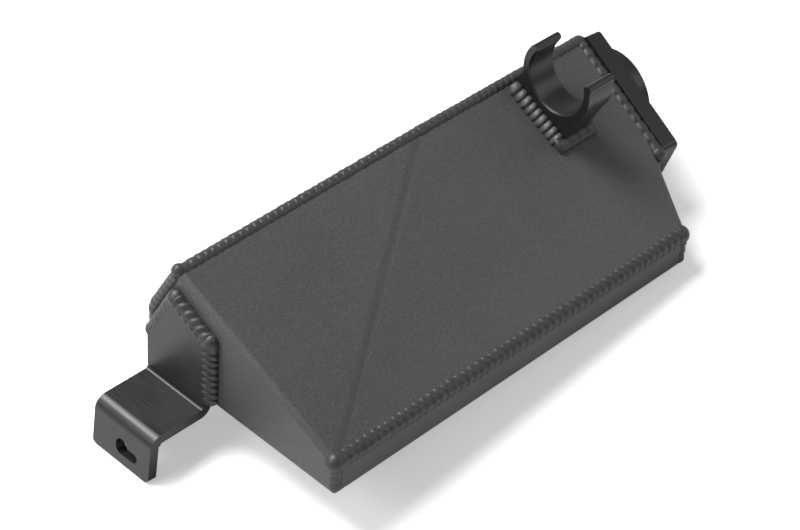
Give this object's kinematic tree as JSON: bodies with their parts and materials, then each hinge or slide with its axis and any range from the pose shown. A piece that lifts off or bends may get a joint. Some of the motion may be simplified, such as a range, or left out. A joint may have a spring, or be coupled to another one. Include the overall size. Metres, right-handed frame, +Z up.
{
  "type": "coolant expansion tank",
  "caption": "Wedge-shaped welded sheet coolant expansion tank with an open filler neck, a hose clip and a slotted mounting bracket.",
  "frame": {"origin": "middle of the bottom sheet, on its underside: half the lower front edge along, half the width across", "axes": "+X along the tank from the bracket end towards the filler neck, +Y from the low front side to the back, +Z up from the bottom sheet"},
  "size_m": [0.3258, 0.1323, 0.1226],
  "materials": {
    "coat": "satin black coated aluminium sheet",
    "machined": "satin black anodised machined aluminium",
    "bead": "semi-gloss black coated weld bead"
  },
  "bodies": {
    "root": {"body_sheet": "coat", "back_panel": "coat", "end_block": "machined", "mounting_bracket": "coat", "hose_clip": "machined", "outlet_port": "machined", "vent_port": "machined", "front_seam_weld": "bead", "front_corner_weld": "bead", "right_corner_weld": "bead", "chamfer_foot_weld": "bead", "left_ridge_weld": "bead", "right_ridge_weld": "bead", "left_gable_weld": "bead", "back_foot_weld": "bead", "end_block_weld": "bead", "bracket_back_weld": "bead", "bracket_top_weld": "bead", "bracket_side_weld": "bead", "clip_end_weld": "bead", "clip_side_weld": "bead", "outlet_weld": "bead", "vent_weld": "bead"}
  },
  "joints": []
}
